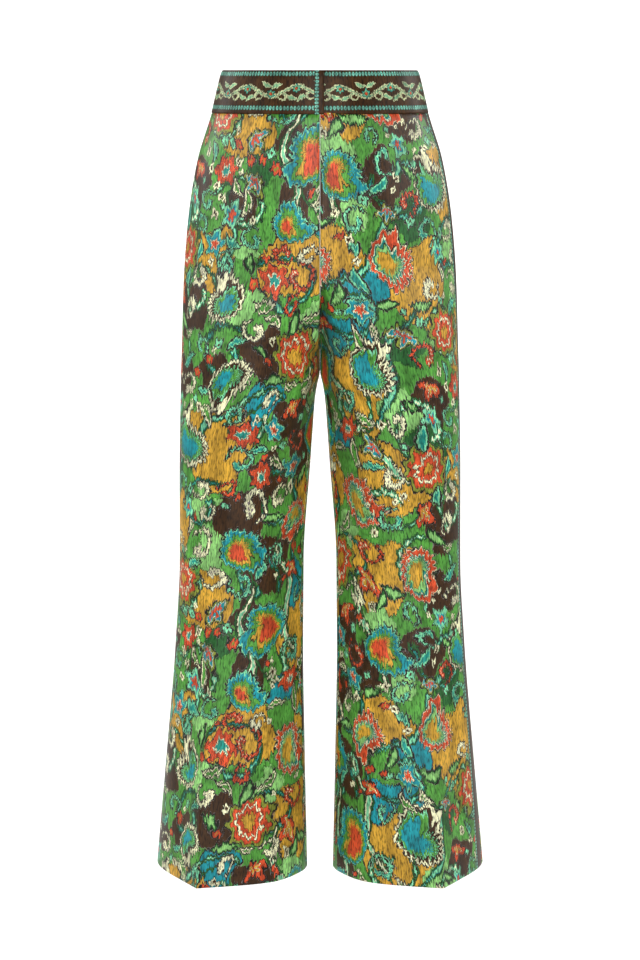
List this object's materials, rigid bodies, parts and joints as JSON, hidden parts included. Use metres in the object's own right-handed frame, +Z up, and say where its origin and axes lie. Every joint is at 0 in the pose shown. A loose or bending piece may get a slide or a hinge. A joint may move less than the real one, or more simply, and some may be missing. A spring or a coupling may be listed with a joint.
{
  "type": "flare pants",
  "caption": "High-waisted flare trousers of thin patterned cloth, with long creased leg panels and a lapped waistband, hollow and open at waist and hems.",
  "frame": {"origin": "the middle of the waist ring at half the height of the waistband", "axes": "+Z up towards the waist, -Y towards the front of the trousers and +X towards the wearer's left leg"},
  "size_m": [0.4234, 0.2527, 1.0187],
  "materials": {
    "printed_cloth": "woven cloth with a soft sheen and a many-coloured feathered print on the right side",
    "band_cloth": "the same cloth, interfaced and firm, with a brown border print"
  },
  "bodies": {
    "root": {"front_left": "printed_cloth", "front_right": "printed_cloth", "back_left": "printed_cloth", "back_right": "printed_cloth", "waistband": "band_cloth"}
  },
  "joints": []
}
